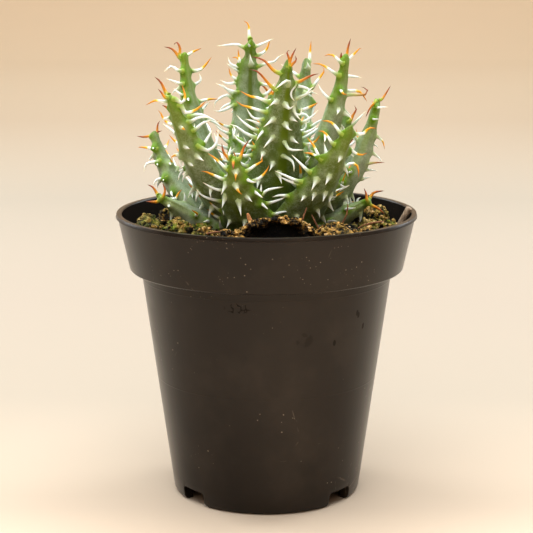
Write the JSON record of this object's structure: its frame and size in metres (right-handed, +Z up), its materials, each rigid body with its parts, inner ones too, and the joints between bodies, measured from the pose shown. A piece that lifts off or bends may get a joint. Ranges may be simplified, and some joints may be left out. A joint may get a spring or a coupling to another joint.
{
  "type": "potted aloe",
  "caption": "Small rosette of upright fleshy leaves with spiny margins and warty backs, growing from crusted soil in a round tapered nursery pot with a deep collar and notched foot.",
  "frame": {"origin": "centre of the pot's foot, on the surface that it stands on", "axes": "+Z up, -Y towards the front of the plant as pictured, +X to the viewer's right"},
  "size_m": [0.105, 0.1048, 0.165],
  "materials": {
    "pot": "moulded dark brown-black polypropylene, satin, with fine scratches",
    "soil": "crumbly peat and bark potting mix with a dry tan crust and specks of moss",
    "stem": "short leafless stem, dull, hidden among the leaf bases",
    "leaf": "fleshy grey-green leaf skin with a waxy bloom and white to orange teeth",
    "twig": "dry bare twig"
  },
  "bodies": {
    "root": {"pot": "pot", "soil": "soil", "stem": "stem", "twig": "twig", "leaf_low_right": "leaf", "leaf_low_back_left": "leaf", "leaf_low_front": "leaf", "leaf_low_back_right": "leaf", "leaf_low_left": "leaf", "leaf_front_right": "leaf", "leaf_low_back": "leaf", "leaf_front_left": "leaf", "leaf_right": "leaf", "leaf_left": "leaf", "leaf_tall_front": "leaf", "leaf_back_right": "leaf", "leaf_tall_left": "leaf", "leaf_tall_right": "leaf", "leaf_tall_back": "leaf", "leaf_back": "leaf", "leaf_tall_back_right": "leaf", "leaf_young_right": "leaf", "leaf_young_left": "leaf", "leaf_young_back": "leaf", "leaf_heart": "leaf"}
  },
  "joints": []
}
